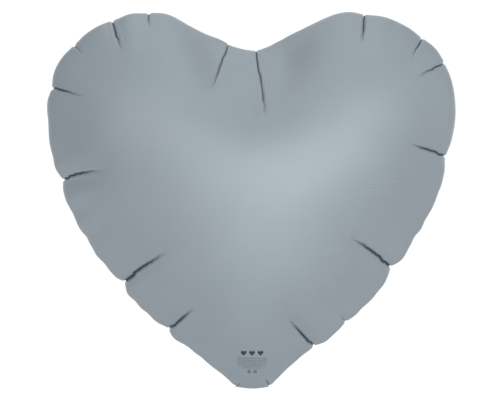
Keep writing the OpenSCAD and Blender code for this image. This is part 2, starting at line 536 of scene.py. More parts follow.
@dataclass
class FilmCut:
    """How the heart's flat cut and its blown-up dome match, ray by ray from the middle.

    A flat point lies at a direction and a length, and the dome's point lies on the same ray, at the same
    length along the dome's own profile.
    """

    outline: HeartOutline
    seam: float
    swell: float = 0.72
    rays: int = 240
    shares: int = 80
    steps: int = 200

    def __post_init__(self) -> None:
        """Work out the tables."""
        edge = self.outline.loop(720)
        middle = self.outline.middle
        reach = np.linalg.norm(edge - middle, axis=1)
        aim = (edge - middle) / reach[:, None]
        self.base = middle + aim * (reach - self.seam)[:, None]
        turns = np.unwrap(np.arctan2(aim[:, 1], aim[:, 0]))
        self.first = turns[0]
        self.ways = self.first + np.linspace(0, 2 * math.pi, self.rays + 1)
        self.reach = np.interp(self.ways, turns, reach - self.seam, period=2 * math.pi)
        self.far = self.near_seam(middle[None])[0]
        t = np.sin(np.linspace(0, math.pi / 2, self.shares + 1))
        plan = t * self.reach[:, None]
        spots = middle + plan[..., None] * np.stack([np.cos(self.ways), np.sin(self.ways)], 1)[:, None]
        height = self.rise(spots[:, :-1].reshape(-1, 2)).reshape(self.rays + 1, self.shares)
        height = np.c_[height, np.zeros(self.rays + 1)]
        step = np.hypot(np.diff(plan, axis=1), np.diff(height, axis=1))
        run = np.c_[np.zeros(self.rays + 1), np.cumsum(step, 1)]
        self.length = run[:, -1]
        even = np.linspace(0, 1, self.steps + 1)
        ratio = [run[i] / self.length[i] for i in range(self.rays + 1)]
        self.plan_share = np.array([np.interp(even, r, t) for r in ratio])
        self.heights = np.array([np.interp(even, r, h) for r, h in zip(ratio, height)])

    def near_seam(self, points: np.ndarray) -> np.ndarray:
        """A smooth distance of points in the seam's plane from the seam."""
        a, b = self.base, np.roll(self.base, -1, 0)
        span = np.linalg.norm(b - a, axis=1)
        out = np.empty(len(points))
        for k in range(0, len(points), 4000):
            u, v = a - points[k : k + 4000, None], b - points[k : k + 4000, None]
            twice = np.abs(u[..., 0] * v[..., 1] - u[..., 1] * v[..., 0])
            angle = np.arctan2(twice, (u * v).sum(2))
            out[k : k + 4000] = math.pi / (angle / np.maximum(twice / span, 1e-9)).sum(1)
        return out

    def rise(self, points: np.ndarray) -> np.ndarray:
        """Height of the dome over points in the seam's plane."""
        share = np.minimum(1, self.near_seam(points) / self.far)
        return self.outline.depth / 2 * share**self.swell

    def _spot(self, way: np.ndarray) -> tuple[np.ndarray, np.ndarray]:
        """Table row below each direction, and the share of the way to the next."""
        at = ((way - self.first) % (2 * math.pi)) / (2 * math.pi) * self.rays
        row = np.minimum(at.astype(int), self.rays - 1)
        return row, at - row

    def along(self, values: np.ndarray, way: np.ndarray) -> np.ndarray:
        """A value that each ray has, read at any direction."""
        row, part = self._spot(way)
        return values[row] * (1 - part) + values[row + 1] * part

    def _table(self, table: np.ndarray, way: np.ndarray, share: np.ndarray) -> np.ndarray:
        """A value that each ray has along its length, read at any direction and share."""
        row, part = self._spot(way)
        at = np.clip(share, 0, 1) * self.steps
        col = np.minimum(at.astype(int), self.steps - 1)
        rest = at - col
        low = table[row, col] * (1 - rest) + table[row, col + 1] * rest
        high = table[row + 1, col] * (1 - rest) + table[row + 1, col + 1] * rest
        return low * (1 - part) + high * part

    def loop(self, share: float, count: int, offset: float) -> np.ndarray:
        """Evenly spaced flat points on the cut's edge, shrunk towards the middle.

        Args:
            share: size of the loop, 1 at the seam.
            count: how many points.
            offset: shift along the loop, in spacings.

        Returns:
            The flat points, measured from the middle.
        """
        way = self.first + np.linspace(0, 2 * math.pi, 721)
        ring = self.along(self.length, way)[:, None] * share * np.c_[np.cos(way), np.sin(way)]
        return evenly(ring, (np.arange(count) + offset) % count / count * line_length(ring))

    def ring_length(self, share: float) -> float:
        """Length of a loop of the cut."""
        way = np.linspace(0, 2 * math.pi, 721)
        ring = self.along(self.length, way)[:, None] * share * np.c_[np.cos(way), np.sin(way)]
        return line_length(ring)

    def blown(self, flat: np.ndarray) -> np.ndarray:
        """Places on the back dome of flat points, as (x, height, z)."""
        way = np.arctan2(flat[:, 1], flat[:, 0])
        share = np.linalg.norm(flat, axis=1) / self.along(self.length, way)
        r = self._table(self.plan_share, way, share) * self.along(self.reach, way)
        h = self._table(self.heights, way, share)
        middle = self.outline.middle
        return np.c_[middle[0] + r * np.cos(way), h, middle[1] + r * np.sin(way)]

    def flattened(self, plan: np.ndarray) -> np.ndarray:
        """Flat points of places in the seam's plane, seen through the dome."""
        v = plan - self.outline.middle
        way = np.arctan2(v[:, 1], v[:, 0])
        share = np.linalg.norm(v, axis=1) / self.along(self.reach, way)
        row, _ = self._spot(way)
        even = np.linspace(0, 1, self.steps + 1)
        t = np.array([np.interp(s, self.plan_share[i], even) for s, i in zip(share, row)])
        return (t * self.along(self.length, way))[:, None] * np.c_[np.cos(way), np.sin(way)]


@dataclass(frozen=True)
class Fold:
    """A fold that starts at the seam and runs into the heart."""

    angle: float  # where it starts, in degrees about the middle, from +X
    lean: float  # how far it leans from the line to the middle, in degrees
    shut: float  # how far it is shut tight, in millimetres
    reach: float  # how far it goes before it fades out, in millimetres
    depth: float  # its depth, as a share of the deepest fold's
    valley: float  # how far it draws the heart's edge in, in millimetres
    jog: float = 0.0  # how far its line steps aside a third of the way along, in millimetres

    @property
    def pressed(self) -> float:
        """How far its line is pressed in: the shut part and the start of the part that fades."""
        return self.shut + 0.4 * (self.reach - self.shut) if self.shut else 0.0


FOLDS = (
    Fold(12, -26, 21, 34, 0.9, 3.2, -0.9),
    Fold(34, -9, 12, 26, 0.7, 0.5),
    Fold(42, 23, 10, 20, 0.7, 0.9),
    Fold(56, 30, 13, 24, 0.7, 1.7),
    Fold(66, 5, 0, 10, 0.4, 0.4),
    Fold(75, 35, 0, 32, 0.3, 0.9),
    Fold(88, 9, 38, 55, 0.55, 0.8, 0.8),
    Fold(102.3, -24, 21, 44, 0.55, 0.9, -0.9),
    Fold(114, 5, 0, 14, 0.5, 1.1),
    Fold(122, -26, 5, 16, 0.7, 1.9),
    Fold(130, -25, 14, 24, 0.8, 0.7),
    Fold(141, -6, 4, 15, 0.6, 0.9),
    Fold(152, 10, 11, 36, 0.9, 1.8, 0.8),
    Fold(160, 0, 0, 9, 0.4, 0.6),
    Fold(168, 5, 0, 9, 0.4, 0.5),
    Fold(175, 13, 18, 42, 1.0, 3.0, 1.3),
    Fold(184, 0, 0, 12, 0.4, 0.7),
    Fold(193, 5, 0, 16, 0.5, 1.4),
    Fold(204, 0, 0, 12, 0.4, 0.7),
    Fold(213.5, -2, 27, 52, 1.0, 2.9, 1.1),
    Fold(221, 0, 0, 12, 0.4, 0.5),
    Fold(238, -17, 15, 32, 0.9, 1.7, -1.0),
    Fold(246, 0, 0, 10, 0.4, 0.6),
    Fold(258, -29, 0, 16, 0.6, 0.6),
    Fold(265.5, -32, 5, 10, 0.55, 0.3),
    Fold(274.5, 18, 5, 10, 0.55, 0.3),
    Fold(291.5, 20, 15, 36, 0.9, 1.9, 1.1),
    Fold(306.5, 2, 2, 14, 0.6, 1.1),
    Fold(334, -6, 27, 48, 1.0, 3.6, -1.1),
    Fold(347, -4, 0, 12, 0.4, 0.7),
    Fold(353, 5, 0, 12, 0.4, 0.7),
)


@dataclass
class FilmNet:
    """The two panels as one net of points that share the seam, laid out on the flat cut.

    The points are the front panel's (its first ones on the seam), the back panel's own, and the two
    rings of the sealed edge.
    """

    cut: FilmCut
    folds: Sequence[Fold]
    near: float = 2.2
    far: float = 8.0
    fine_depth: float = 30.0
    row_step: float = 1.5
    rows: tuple[float, ...] = (0.0, 0.75, -0.75, 1.7, -1.7)

    def __post_init__(self) -> None:
        """Lay out the net."""
        flat = self._flat_points()
        self.seam_count = self._seam_points
        n = self.seam_count
        corners, _, found, *_ = delaunay_2d_cdt(
            [Vector(p) for p in flat], [(i, (i + 1) % n) for i in range(n)], [list(range(n))], 2, 1e-6
        )
        self.flat = np.array([p[:] for p in corners])
        triangles = np.array([list(t) for t in found])
        m = self.panel_count = len(self.flat)
        dome = self.cut.blown(self.flat)
        dome[:n, 1] = 0
        front = dome * [1, -1, 1]
        seam = dome[:n, [0, 2]]
        zero = np.zeros(n)
        rings, flat_rings = [], []
        for share in (0.5, 1.0):
            ring = self._outward(seam, share * self.cut.seam)
            rings.append(np.c_[ring[:, 0], zero, ring[:, 1]])
            ring = self._outward(self.flat[:n], share * self.cut.seam)
            flat_rings.append(np.c_[ring[:, 0], zero, ring[:, 1]])
        lay = np.c_[self.flat[:, 0], np.zeros(m), self.flat[:, 1]]
        self.start = np.concatenate([front, dome[n:], *rings])
        self.laid = np.concatenate([lay, lay[n:], *flat_rings])
        self.inner_ring = 2 * m - n
        self.outer_ring = self.inner_ring + n
        a, b, c = (front[triangles[:, k]] for k in range(3))
        wrong = np.cross(b - a, c - a)[:, 1] > 0
        self.front_faces = np.where(wrong[:, None], triangles[:, ::-1], triangles)
        self.back_number = np.arange(m)
        self.back_number[n:] += m - n
        self.back_faces = self.back_number[self.front_faces[:, ::-1]]

    def _flat_points(self) -> np.ndarray:
        """Points of the flat cut: loops that grow coarser inwards, and rows beside each shut fold."""
        mean = self.cut.length.mean()
        n = self._seam_points = int(self.cut.ring_length(1) / self.near)
        seam = self.cut.loop(1, n, 0)
        self.fold_lines = [self._fold_line(fold, seam) for fold in self.folds]
        kept_rows: list[np.ndarray] = []
        for fold, line in zip(self.folds, self.fold_lines):
            if not fold.pressed:
                continue
            places = np.arange(self.row_step, line_length(line), self.row_step)
            spots = evenly(line, places)
            way = np.gradient(spots, axis=0) if len(spots) > 1 else (line[1:2] - line[:1])
            way = way / np.linalg.norm(way, axis=1)[:, None]
            aside = np.c_[-way[:, 1], way[:, 0]]
            for k, off in enumerate(self.rows):
                row = spots + aside * off
                row = row[1:] if k > 2 else row
                if kept_rows:
                    others = np.concatenate(kept_rows)
                    close = np.linalg.norm(row[:, None] - others, axis=2).min(1)
                    row = row[close > 0.55]
                if len(row):
                    kept_rows.append(row)
        rows = np.concatenate(kept_rows)
        edge_gap = np.linalg.norm(rows[:, None] - seam, axis=2).min(1)
        rows = rows[edge_gap > 0.6]
        loops, gone, k = [seam], self.near * 0.87, 1
        while gone < mean - self.far * 0.7:
            share = 1 - gone / mean
            space = self.near
            if gone > self.fine_depth:
                space = min(self.far, self.near + (gone - self.fine_depth) * 0.12)
            count = max(6, int(self.cut.ring_length(share) / space))
            loop = self.cut.loop(share, count, 0.5 * (k % 2))
            clear = np.ones(len(loop), bool)
            for part in np.array_split(np.arange(len(loop)), 4):
                clear[part] = np.linalg.norm(loop[part, None] - rows, axis=2).min(1) > 1.25
            loops.append(loop[clear])
            gone += space * 0.87
            k += 1
        return np.concatenate([*loops, rows, np.zeros((1, 2))])

    def _fold_line(self, fold: Fold, seam: np.ndarray) -> np.ndarray:
        """The fold's line on the flat cut, straight as seen from the front.

        Args:
            fold: the fold.
            seam: flat points of the seam.

        Returns:
            The line's flat points, from the seam in, as far as the fold is pressed in.
        """
        plan = self.cut.blown(seam)[:, [0, 2]]
        start, way = fold_way(fold, plan, self.cut.outline.middle)
        run = np.linspace(0, max(fold.pressed, 1.0), 36)[:, None]
        step = np.clip((run - fold.shut / 3) / 2.0 + 0.5, 0, 1) if fold.shut else 0 * run
        aside = np.array([-way[1], way[0]]) * fold.jog * step * step * (3 - 2 * step)
        line = self.cut.flattened(plan[start] + way * run + aside)
        line[0] = seam[start]
        return line

    @staticmethod
    def _outward(loop: np.ndarray, by: float) -> np.ndarray:
        """A counter-clockwise loop moved outwards."""
        way = np.roll(loop, -1, 0) - np.roll(loop, 1, 0)
        way /= np.linalg.norm(way, axis=1)[:, None]
        return loop + by * np.c_[way[:, 1], -way[:, 0]]

    def ring_faces(self, first: np.ndarray, second: np.ndarray) -> np.ndarray:
        """Triangles between two rings of point numbers, facing the front."""
        a, b = np.roll(first, -1), np.roll(second, -1)
        return np.concatenate([np.c_[first, a, b], np.c_[first, b, second]])


def fold_way(fold: Fold, seam: np.ndarray, middle: np.ndarray) -> tuple[int, np.ndarray]:
    """Where a fold starts and which way it runs.

    Args:
        fold: the fold.
        seam: the seam's points, as (x, z).
        middle: the heart's middle.

    Returns:
        The number of the seam's point, and the fold's unit direction.
    """
    v = seam - middle
    turns = np.degrees(np.arctan2(v[:, 1], v[:, 0]))
    start = int(np.argmin(np.abs((turns - fold.angle + 180) % 360 - 180)))
    inward = -v[start] / np.linalg.norm(v[start])
    lean = math.radians(fold.lean)
    c, s = math.cos(lean), math.sin(lean)
    return start, np.array([inward[0] * c - inward[1] * s, inward[0] * s + inward[1] * c])


# ----------------------------------------------------------------------
# Blowing the film up
# ----------------------------------------------------------------------


@dataclass
class Inflation:
    """Blows the net up: pressure pushes the faces and every edge keeps nearly its cut length.

    The film's spare edge length, left over as the flat cut turns round, ends up in folds that run in from
    the seam.
    """

    net: FilmNet
    steps: int = 1200
    spare: float = 0.45
    push: float = 0.0001
    bend: float = 0.05
    keep_speed: float = 0.97
    line_width: float = 2.2
    taut: float = 0.12
    slack: float = 0.15
    hold: float = 0.3
    flatten: float = 0.98
    seed: int = 5
    drawn: np.ndarray | None = None

    def run(self) -> np.ndarray:
        """Blow the film up.

        Returns:
            The net's points, in millimetres.
        """
        net, rng = self.net, np.random.RandomState(self.seed)
        n, start = net.seam_count, net.start
        ring = np.arange(n)
        faces = np.concatenate(
            [
                net.front_faces,
                net.back_faces,
                net.ring_faces(ring, net.inner_ring + ring),
                net.ring_faces(net.inner_ring + ring, net.outer_ring + ring),
            ]
        )
        edges, bends = self._links(faces, len(start))
        rest = (1 - self.spare) * distance(start, edges) + self.spare * distance(net.laid, edges)
        rest_bend = (1 - self.spare) * distance(start, bends) + self.spare * distance(net.laid, bends)
        rest, pinned = self._pull_folds(edges, rest)
        groups = [(edges[g, 0], edges[g, 1], rest[g], 1.0) for g in self._groups(edges)]
        groups += [(bends[g, 0], bends[g, 1], rest_bend[g], self.bend) for g in self._groups(bends)]
        goal = start[:n].copy()
        inward = net.cut.outline.middle - goal[:, [0, 2]]
        inward /= np.linalg.norm(inward, axis=1)[:, None]
        self.drawn = self._scallop(pinned)
        goal[:, [0, 2]] += inward * self.drawn[:, None]
        x = start.copy()
        x[:, 1] += rng.uniform(-0.3, 0.3, len(x))
        x[:n] = goal
        x[:n, 1] += rng.uniform(-0.5, 0.5, n)
        grip = np.full(n, self.hold)
        grip[list(pinned)] = 1.0
        grip[np.abs(goal[:, 0]) + np.maximum(goal[:, 2] - 12, 0) * 9 < net.cut.outline.bottom_width * 0.6] = 1.0
        gas = np.concatenate([net.front_faces, net.back_faces])
        speed = np.zeros_like(x)
        for step in range(self.steps):
            if step % 4 == 0:
                lift = np.cross(x[gas[:, 1]] - x[gas[:, 0]], x[gas[:, 2]] - x[gas[:, 0]]) / 6
                force = np.stack(
                    [np.bincount(gas.ravel(), np.repeat(lift[:, k], 3), len(x)) for k in range(3)], 1
                )
            before = x.copy()
            x += speed + force * self.push
            for i, j, length, stiff in groups:
                gap = x[j] - x[i]
                now = np.sqrt((gap * gap).sum(1)) + 1e-9
                move = gap * (stiff * (now - length) / (2 * now))[:, None]
                x[i] += move
                x[j] -= move
            x[:n] += (goal - x[:n]) * grip[:, None]
            x[:n, 1] *= self.flatten
            speed = (x - before) * self.keep_speed
        LOG.info("film net of %d points settled to %.3f mm a step", len(x), np.abs(speed).max())
        return x

    @staticmethod
    def _links(faces: np.ndarray, count: int) -> tuple[np.ndarray, np.ndarray]:
        """Find the net's edges and the pairs of corners across them.

        Args:
            faces: the net's triangles.
            count: how many points it has.

        Returns:
            The edges, and the pairs that keep it from creasing sharply.
        """
        sides = np.concatenate([faces[:, [0, 1]], faces[:, [1, 2]], faces[:, [2, 0]]])
        across = np.concatenate([faces[:, 2], faces[:, 0], faces[:, 1]])
        sides = np.sort(sides, 1)
        key = sides[:, 0] * count + sides[:, 1]
        order = np.argsort(key, kind="stable")
        kept, first, times = np.unique(key[order], return_index=True, return_counts=True)
        pair = first[times == 2]
        return np.c_[kept // count, kept % count], np.c_[across[order][pair], across[order][pair + 1]]

    @staticmethod
    def _groups(pairs: np.ndarray) -> list[np.ndarray]:
        """Sort pairs into groups in which no point is used twice."""
        used: dict[int, int] = {}
        group = np.zeros(len(pairs), int)
        for number, (i, j) in enumerate(pairs.tolist()):
            taken = used.setdefault(i, 0) | used.setdefault(j, 0)
            free = (~taken & (taken + 1)).bit_length() - 1
            group[number] = free
            used[i] |= 1 << free
            used[j] |= 1 << free
        return [np.nonzero(group == g)[0] for g in range(group.max() + 1)]

    def _pull_folds(self, edges: np.ndarray, rest: np.ndarray) -> tuple[np.ndarray, dict[int, float]]:
        """Tighten the film along each fold and leave it spare across.

        Args:
            edges: the net's edges.
            rest: their cut lengths.

        Returns:
            The new lengths, and how far each seam point that a fold starts from is drawn in.
        """
        net = self.net
        plan = net.start[:, [0, 2]]
        tight, spare = np.zeros(len(plan)), np.zeros(len(plan))
        ways = np.zeros((len(plan), 2))
        pinned: dict[int, float] = {}
        seam = plan[: net.seam_count]
        for fold in net.folds:
            start, way = fold_way(fold, seam, net.cut.outline.middle)
            pinned[start] = max(pinned.get(start, 0), fold.valley)
            v = plan - seam[start]
            run, off = v @ way, v @ np.array([-way[1], way[0]])
            fade = fold.depth * np.clip(1 - run / fold.reach, 0, 1) ** 0.7 * (run > -8)
            line = np.exp(-((off / self.line_width) ** 2)) * fade
            more = line > tight
            tight = np.where(more, line, tight)
            ways[more] = way
            spare = np.maximum(spare, np.exp(-((off / (3 * self.line_width)) ** 2)) * fade)
        i, j = edges.T
        flat, solid = plan[j] - plan[i], net.start[j] - net.start[i]
        cross = np.abs(flat[:, 1] * ways[i, 0] - flat[:, 0] * ways[i, 1]) / np.linalg.norm(solid, axis=1)
        tight, spare = (tight[i] + tight[j]) / 2, (spare[i] + spare[j]) / 2
        pulled = rest * (1 - self.taut * tight * (1 - cross**2)) * (1 + self.slack * spare * cross**2)
        return pulled, pinned

    def _scallop(self, pinned: dict[int, float]) -> np.ndarray:
        """How far each seam point is drawn in: most at each fold, and hardly at all between them."""
        n = self.net.seam_count
        stops = sorted(pinned)
        drawn = np.zeros(n)
        for a, b in zip(stops, stops[1:] + [stops[0] + n]):
            t = np.linspace(0, 1, b - a + 1)
            near_a, near_b = np.clip(1 - 1.6 * t, 0, 1) ** 2.4, np.clip(1.6 * t - 0.6, 0, 1) ** 2.4
            drawn[np.arange(a, b + 1) % n] = near_a * pinned[a] + near_b * pinned[b % n]
        return drawn


# Corrections of the blown heart's outline, because blowing up leaves it a few per cent off the wanted
# one: direction and half width in degrees, and share of its size.
TRIMS: tuple[tuple[int, int, float], ...] = (
    (2, 14, -0.012),
    (35, 9, 0.018),
    (73, 7, -0.045),
    (107, 7, -0.065),
    (149, 11, 0.018),
    (211, 6, -0.012),
    (236, 9, -0.016),
    (253, 8, -0.034),
    (286, 7, -0.045),
    (301, 10, -0.012),
    (343, 9, -0.016),
)


@dataclass
class HeartFilm:
    """The front and back panels of the blown-up heart, with the sealed edge between them."""

    outline: HeartOutline
    seam: float
    tail_bed: np.ndarray  # the folded tail's path, as (y, z) in millimetres
    tail_half_width: float
    tail_stack: float
    fold_in: float = 1.9
    fold_half_width: float = 0.55
    lip: float = 0.2
    swell: float = 11.0
    swell_peak: float = 8.0
    swell_valley: float = 0.7
    swell_less_at_notch: float = 1.0
    tip_swell: float = 7.6
    outward_rounds: int = 40
    calm_rounds: int = 10
    calm_share: float = 0.35  # how far the blown film goes back to the smooth dome
    calm_at_notch: float = 0.75
    calm_most: float = 0.85
    tight_x: float = 62.0  # how far the tight film round the notch reaches
    tight_z: float = 46.0
    edge_turn: float = 9.0
    edge_half: float = 0.12
    channel_half: float = 0.5
    drawn: np.ndarray | None = None

    def build(self) -> tuple[bpy.types.Object, bpy.types.Object]:
        """Blow the film up and make both panels.

        Returns:
            The front panel and the back panel.
        """
        cut = FilmCut(self.outline, self.seam)
        net = FilmNet(cut, FOLDS)
        blowing = Inflation(net, steps=1200)
        points = self._fit(net, blowing.run())
        self.drawn = blowing.drawn
        points = self._calm(net, points)
        points = self._ease_bottom(net, points)
        points = self._trim(self._swell_over_seam(net, points))
        points = self._shut_folds(net, points)
        points = self._calm_edge(net, points)
        points = self._fit(net, points)
        points = self._clear_tail(net, points)
        fields = self._fields(net)
        film, sealed = MetallisedFilm().build(), MetallisedFilm(
            name="aluminium_metallised_nylon_film_heat_sealed",
            colour="#A2ADB3",
            roughness=0.4,
            sealed=True,
        ).build()
        front = self._panel(net, points, fields, Side.FRONT, "front_film_panel", [film, sealed])
        back = self._panel(net, points, fields, Side.BACK, "back_film_panel", [film, sealed])
        return front, back

    def _fit(self, net: FilmNet, points: np.ndarray) -> np.ndarray:
        """Bring the heart to its CAD size, which blowing up leaves a few per cent off."""
        low, high = points.min(0), points.max(0)
        foot = points[net.outer_ring :, 2].min()
        out = points.copy()
        out[:, 0] *= self.outline.width / (high[0] - low[0])
        out[:, 1] *= self.outline.depth / (high[1] - low[1])
        out[:, 2] = (points[:, 2] - foot) * self.outline.height / (high[2] - foot)
        return out

    def _normals(self, net: FilmNet, points: np.ndarray) -> np.ndarray:
        """Directions square to the film, outwards, at every point of both panels."""
        faces = np.concatenate([net.front_faces, net.back_faces])
        a, b, c = (points[faces[:, k]] for k in range(3))
        cross = np.cross(b - a, c - a)
        out = np.stack(
            [np.bincount(faces.ravel(), np.repeat(cross[:, k], 3), len(points)) for k in range(3)], 1
        )
        sides = np.concatenate([faces[:, [0, 1]], faces[:, [1, 2]], faces[:, [2, 0]]])
        for _ in range(3):
            out = out + np.stack(
                [np.bincount(sides[:, 1], out[sides[:, 0], k], len(points)) for k in range(3)], 1
            )
            out /= np.linalg.norm(out, axis=1)[:, None] + 1e-12
        return out

    def _near_fold(self, net: FilmNet) -> tuple[np.ndarray, np.ndarray, np.ndarray]:
        """The nearest pressed fold of every flat point.

        Returns:
            Distance from it, how shut it is beside the point, from 0 at its end to 1, and its depth.
        """
        best = np.full(net.panel_count, 1e3)
        share, depth = np.zeros(net.panel_count), np.zeros(net.panel_count)
        for fold, line in zip(net.folds, net.fold_lines):
            if not fold.pressed:
                continue
            away = np.linalg.norm(net.flat - line.mean(0), axis=1)
            close = np.nonzero(away < line_length(line) + 12)[0]
            a, b = line[:-1], line[1:]
            v = b - a
            u = net.flat[close, None] - a
            t = np.clip((u * v).sum(2) / (v * v).sum(1), 0, 1)
            gap = np.linalg.norm(u - t[..., None] * v, axis=2)
            pick = gap.argmin(1)
            least = gap[np.arange(len(close)), pick]
            along = (pick + t[np.arange(len(close)), pick]) / len(v)
            fade_from = 0.7 * fold.shut / fold.pressed
            shut = np.clip((1 - along) / (1 - fade_from), 0, 1)
            better = least < best[close]
            at = close[better]
            best[at], share[at], depth[at] = least[better], shut[better], fold.depth
        return best, share, depth

    def _shut_folds(self, net: FilmNet, points: np.ndarray) -> np.ndarray:
        """Press each main fold in along its line, with a low lip on both sides of it."""
        gap, share, depth = self._near_fold(net)
        taper = share**0.8 * depth
        groove = np.exp(-((gap / self.fold_half_width) ** 2))
        lip = np.exp(-(((gap - 2.0) / 1.0) ** 2))
        press = self.fold_in * taper * (self.lip * lip - groove)
        normals = self._normals(net, points)
        out = points.copy()
        n, m = net.seam_count, net.panel_count
        inner = np.arange(n, m)
        out[inner] += normals[inner] * press[inner, None]
        back = net.back_number[inner]
        out[back] += normals[back] * press[inner, None]
        return out

    def _at_tail(self, plan: np.ndarray) -> np.ndarray:
        """How clear of the tail places in the seam's plane are, from 0 at the tail to 1."""
        away = np.hypot(plan[:, 0], np.maximum(plan[:, 1], 0)) - self.tail_half_width
        share = np.clip((away - 2) / 20, 0, 1)
        return share * share * (3 - 2 * share)

    def _away(self, net: FilmNet) -> np.ndarray:
        """Length of film between every flat point and the seam."""
        way = np.arctan2(net.flat[:, 1], net.flat[:, 0])
        return net.cut.along(net.cut.length, way) - np.linalg.norm(net.flat, axis=1)

    def _outward(self, net: FilmNet, points: np.ndarray) -> np.ndarray:
        """Directions square to the smoothed seam, away from the heart, at every seam point."""
        line = points[: net.seam_count, [0, 2]]
        for _ in range(self.outward_rounds):
            line = (np.roll(line, 1, 0) + 2 * line + np.roll(line, -1, 0)) / 4
        way = np.roll(line, -3, 0) - np.roll(line, 3, 0)
        way /= np.linalg.norm(way, axis=1)[:, None]
        return np.c_[way[:, 1], -way[:, 0]]

    def _swell_over_seam(self, net: FilmNet, points: np.ndarray) -> np.ndarray:
        """Swell both tight panels out past the seam, which leaves the sealed edge in a groove.

        Where the tail starts, only the front panel swells past it.
        """
        n = net.seam_count
        flat_way = np.arctan2(net.flat[:, 1], net.flat[:, 0])
        turn = (flat_way - flat_way[0]) % (2 * math.pi)
        stops = turn[:n]
        t = self._away(net) / self.swell_peak
        share = np.clip(t, 0, None) * np.exp(1 - t)
        out = self._outward(net, points)
        way = np.stack([np.interp(turn, stops, out[:, k], period=2 * math.pi) for k in (0, 1)], 1)
        drawn = np.interp(turn, stops, self.drawn, period=2 * math.pi)
        clear = np.interp(turn, stops, self._at_tail(points[:n, [0, 2]]), period=2 * math.pi)
        notch = np.exp(-((((np.degrees(flat_way) - 90 + 180) % 360 - 180) / 30) ** 2))
        both = (self.swell - self.swell_less_at_notch * notch - self.swell_valley * drawn) * clear
        made = points.copy()
        made[: net.panel_count, [0, 2]] += way * (share * (both + self.tip_swell * (1 - clear)))[:, None]
        inner = np.arange(n, net.panel_count)
        back = net.back_number[inner][:, None]
        made[back, [0, 2]] += (way * (share * both)[:, None])[inner]
        return made

    def _trim(self, points: np.ndarray) -> np.ndarray:
        """Correct the outline by TRIMS, since blowing up alone does not reach the wanted one."""
        middle = self.outline.middle
        plan = points[:, [0, 2]] - middle
        way = np.degrees(np.arctan2(plan[:, 1], plan[:, 0]))
        change = np.zeros(len(points))
        for angle, half, share in TRIMS:
            off = (way - angle + 180) % 360 - 180
            change += share * np.exp(-((off / half) ** 2))
        reach = np.clip(np.linalg.norm(plan, axis=1) / (0.4 * self.outline.width), 0, 1) ** 2
        made = points.copy()
        made[:, [0, 2]] = middle + plan * (1 + change * reach)[:, None]
        return made

    def _calm(self, net: FilmNet, points: np.ndarray) -> np.ndarray:
        """Take slack waves out of the blown film, most of all round the notch, where it is tight."""
        n = net.seam_count
        faces = np.concatenate([net.front_faces, net.back_faces])
        sides = np.concatenate([faces[:, [0, 1]], faces[:, [1, 2]], faces[:, [2, 0]]])
        sides = np.concatenate([sides, sides[:, ::-1]])
        count = np.bincount(sides[:, 1], minlength=len(points)) + 1e-9
        free = np.ones(len(points))
        free[:n] = 0
        free[net.inner_ring :] = 0
        made = points.copy()
        for _ in range(self.calm_rounds):
            mean = np.stack(
                [np.bincount(sides[:, 1], made[sides[:, 0], k], len(points)) / count for k in range(3)], 1
            )
            made += (mean - made) * (0.5 * free)[:, None]
        start = self._fit(net, net.start)
        plan = start[:, [0, 2]]
        notch_z = self.outline.height - self.outline.notch_depth
        near = np.hypot(plan[:, 0] / self.tight_x, (plan[:, 1] - notch_z) / self.tight_z)
        blend = self.calm_at_notch * np.clip(1.25 - near, 0, 1) + self.calm_share
        return made + (start - made) * np.clip(blend, 0, self.calm_most)[:, None]

    def _calm_edge(self, net: FilmNet, points: np.ndarray) -> np.ndarray:
        """Lay the sealed edge again as an even strip along the seam, swaying a little."""
        n = net.seam_count
        seam = points[:n]
        plan = seam[:, [0, 2]]
        smooth = plan.copy()
        for _ in range(2):
            smooth = (np.roll(smooth, 1, 0) + 2 * smooth + np.roll(smooth, -1, 0)) / 4
        way = np.roll(smooth, -2, 0) - np.roll(smooth, 2, 0)
        way /= np.linalg.norm(way, axis=1)[:, None]
        out = np.c_[way[:, 1], np.zeros(n), -way[:, 0]]
        run = np.arange(n) / n * 2 * math.pi
        sway = self._at_tail(plan) * (0.6 * np.sin(run * 17 + 1.0) + 0.4 * np.sin(run * 41 + 2.0))
        made = points.copy()
        for first, reach, turn in ((net.inner_ring, 0.5, 0.55), (net.outer_ring, 1.0, 1.0)):
            angle = np.radians(self.edge_turn * turn * sway)
            step = self.seam * reach
            side = out * np.cos(angle)[:, None] + np.array([0, 1.0, 0]) * np.sin(angle)[:, None]
            made[first : first + n] = seam + side * step
        return made

    def _ease_bottom(self, net: FilmNet, points: np.ndarray) -> np.ndarray:
        """Round the film off into the flat edge where the tail starts, which has no seam across it."""
        faces = np.concatenate([net.front_faces, net.back_faces])
        ring = np.arange(net.seam_count)
        faces = np.concatenate([faces, net.ring_faces(ring, net.inner_ring + ring)])
        sides = np.concatenate([faces[:, [0, 1]], faces[:, [1, 2]], faces[:, [2, 0]]])
        sides = np.concatenate([sides, sides[:, ::-1]])
        plan = points[:, [0, 2]]
        reach = np.clip(1 - np.hypot(plan[:, 0], plan[:, 1] - 2) / 30, 0, 1)
        weight = np.clip(reach * 1.8, 0, 1)
        for half in (points[:, 1] < -1e-6, points[:, 1] > 1e-6):
            kept = half[sides[:, 0]] | (np.abs(points[sides[:, 0], 1]) <= 1e-6)
            pair = sides[kept]
            count = np.bincount(pair[:, 1], minlength=len(points)) + 1e-9
            for _ in range(14):
                mean = np.bincount(pair[:, 1], points[pair[:, 0], 1], len(points)) / count
                mean = np.where(half & (count > 1), mean, points[:, 1])
                points = points.copy()
                points[:, 1] += (mean - points[:, 1]) * weight * 0.7 * half
        return points

